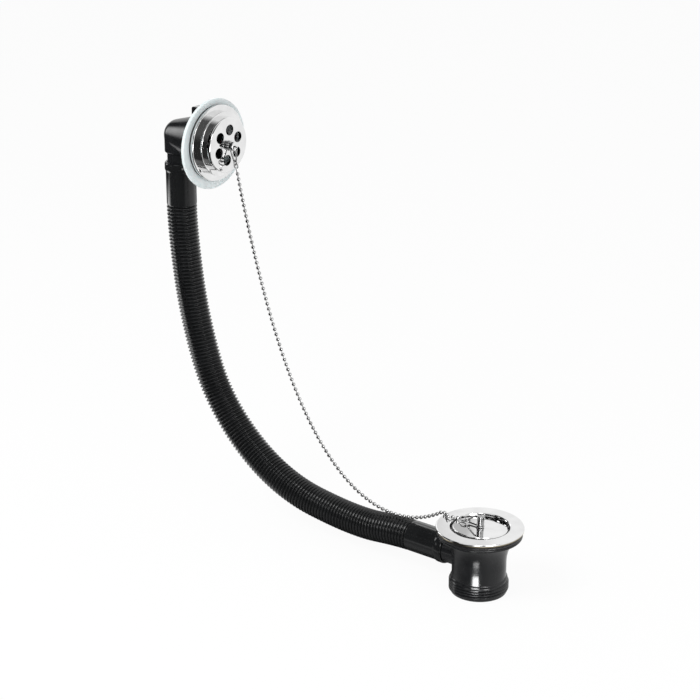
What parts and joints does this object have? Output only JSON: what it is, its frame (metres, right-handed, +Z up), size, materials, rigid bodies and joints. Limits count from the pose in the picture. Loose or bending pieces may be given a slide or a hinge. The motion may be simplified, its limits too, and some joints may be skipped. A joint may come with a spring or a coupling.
{
  "type": "bath waste and overflow",
  "caption": "Bath waste and overflow: chrome plug waste with a threaded black outlet, round overflow face, corrugated hose between them and a plug on a ball chain.",
  "frame": {"origin": "on the waste's axis, in the plane between its two seals where the bath floor is clamped", "axes": "+Z up along the waste's axis, +X along the overflow's axis from the end wall into the bath, so the overflow stands at negative X"},
  "size_m": [0.3593, 0.0752, 0.3576],
  "materials": {
    "black_moulding": "smooth moulded gloss",
    "black_hose": "flexible moulded, satin gloss",
    "bright_chrome": "polished plating",
    "chrome_wire": "bright drawn wire",
    "chain": "bright plated balls",
    "steel_screw": "turned",
    "brass": "turned",
    "black_rubber": "matt",
    "pale_washer": "pale, slightly translucent, satin"
  },
  "bodies": {
    "root": {"overflow_elbow": "black_moulding", "elbow_insert": "brass", "overflow_washer": "pale_washer", "face_gasket": "black_rubber", "overflow_face": "bright_chrome", "stay_screw": "bright_chrome", "stay_stirrup": "chrome_wire", "stay_ring": "chrome_wire", "stay_link": "chrome_wire", "chain_beads": "chain", "chain_links": "chain", "plug_link": "chrome_wire", "plug_ring": "chrome_wire", "plug_stirrup": "chrome_wire", "plug_post": "bright_chrome", "plug_body": "bright_chrome", "plug_seal": "black_rubber", "waste_flange": "bright_chrome", "centre_screw": "steel_screw", "upper_seal": "black_rubber", "lower_seal": "black_rubber", "waste_body": "black_moulding", "body_insert": "brass", "overflow_hose": "black_hose"}
  },
  "joints": []
}
